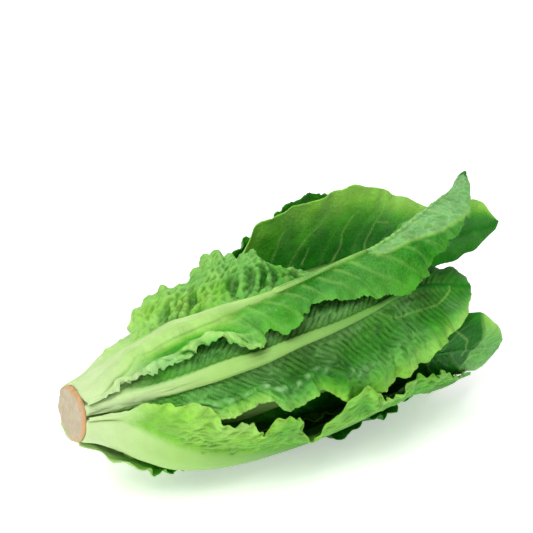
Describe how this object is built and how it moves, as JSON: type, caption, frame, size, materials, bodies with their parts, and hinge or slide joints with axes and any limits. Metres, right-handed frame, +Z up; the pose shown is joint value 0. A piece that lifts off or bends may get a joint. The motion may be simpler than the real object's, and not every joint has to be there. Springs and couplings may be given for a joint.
{
  "type": "romaine lettuce head",
  "caption": "Head of romaine lettuce lying on its side, cut stem at one end and loose upright leaves with pale midribs and wavy green blades.",
  "frame": {"origin": "on the surface that the head lies on, below the middle of its bounding box", "axes": "+X along the head from its cut stem to its leaf tips, +Z up from the surface, -Y towards the side that the picture shows"},
  "size_m": [0.3074, 0.1375, 0.1351],
  "materials": {
    "cut_stem": "matte, moist cut face",
    "heart_leaf": "satin",
    "leaf": "satin"
  },
  "bodies": {
    "root": {"cut_stem": "cut_stem", "heart_leaf_inner": "heart_leaf", "heart_leaf_outer": "heart_leaf", "inner_leaf_back": "leaf", "inner_leaf_front": "leaf", "inner_leaf_top": "leaf", "inner_leaf_under": "leaf", "middle_leaf_back": "leaf", "middle_leaf_front": "leaf", "middle_leaf_under": "leaf", "outer_leaf_back_bottom": "leaf", "outer_leaf_back_top": "leaf", "outer_leaf_front_bottom": "leaf", "outer_leaf_top": "leaf", "outer_leaf_under": "leaf"}
  },
  "joints": []
}
